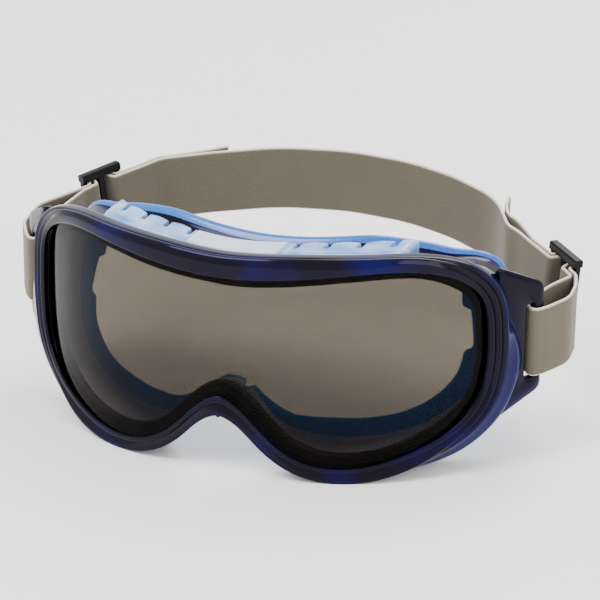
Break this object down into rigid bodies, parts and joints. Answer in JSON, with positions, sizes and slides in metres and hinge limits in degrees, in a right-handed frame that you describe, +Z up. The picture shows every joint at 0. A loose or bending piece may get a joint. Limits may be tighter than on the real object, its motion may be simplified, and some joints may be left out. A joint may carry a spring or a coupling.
{
  "type": "safety goggles",
  "caption": "Soft-framed safety goggles with a smoke-tinted double lens, a vented roof and an elastic headband looped through side lugs and held by sliding buckles.",
  "frame": {"origin": "on the rest plane below the middle of the whole object; the middle of the lens front is 66.9 mm in front of it and 37.5 mm above it", "axes": "+Z up, -Y the way the wearer looks, +X towards the wearer's left"},
  "size_m": [0.1929, 0.1362, 0.0741],
  "materials": {
    "frame_vinyl": "glossy translucent soft vinyl, navy where thick and sky blue where thin",
    "smoke_lens": "smooth grey-brown tinted lens",
    "clear_lens": "clear smooth inner lens",
    "gasket_rubber": "matt black closed-cell spacer",
    "vent_plastic": "satin pale blue moulding",
    "plate_plastic": "satin blank plate",
    "strap_fabric": "matt tan elastic webbing",
    "slide_plastic": "satin black moulding"
  },
  "bodies": {
    "goggles": {"outer_lens": "smoke_lens", "lens_gasket": "gasket_rubber", "inner_lens": "clear_lens", "frame_rim": "frame_vinyl", "frame_wall": "frame_vinyl", "face_flange": "frame_vinyl", "right_lug": "frame_vinyl", "left_lug": "frame_vinyl", "top_vent_cover": "vent_plastic", "label_plate": "plate_plastic", "right_floor_vent": "vent_plastic", "left_floor_vent": "vent_plastic"},
    "headband": {"rear_band": "strap_fabric", "right_inner_weave": "strap_fabric", "right_outer_weave": "strap_fabric", "right_tail": "strap_fabric", "right_loop": "strap_fabric", "left_inner_weave": "strap_fabric", "left_outer_weave": "strap_fabric", "left_tail": "strap_fabric", "left_loop": "strap_fabric"},
    "right_slide": {"right_slide": "slide_plastic"},
    "left_slide": {"left_slide": "slide_plastic"}
  },
  "joints": [
    {"name": "headband_tilt", "type": "hinge", "parent": "goggles", "child": "headband", "pos_m": [0, -0.01656, 0.04091], "axis": [1, 0, 0], "range_deg": [-35, 25], "deforming": ["right_loop", "left_loop"]},
    {"name": "right_slide_travel", "type": "slide", "parent": "headband", "child": "right_slide", "axis": [-0.7163, 0.6869, 0.1224], "range_m": [0, 0.008], "deforming": ["right_inner_weave", "right_outer_weave"]},
    {"name": "left_slide_travel", "type": "slide", "parent": "headband", "child": "left_slide", "axis": [0.4942, 0.8559, 0.1525], "range_m": [0, 0.008], "deforming": ["left_inner_weave", "left_outer_weave"]}
  ]
}
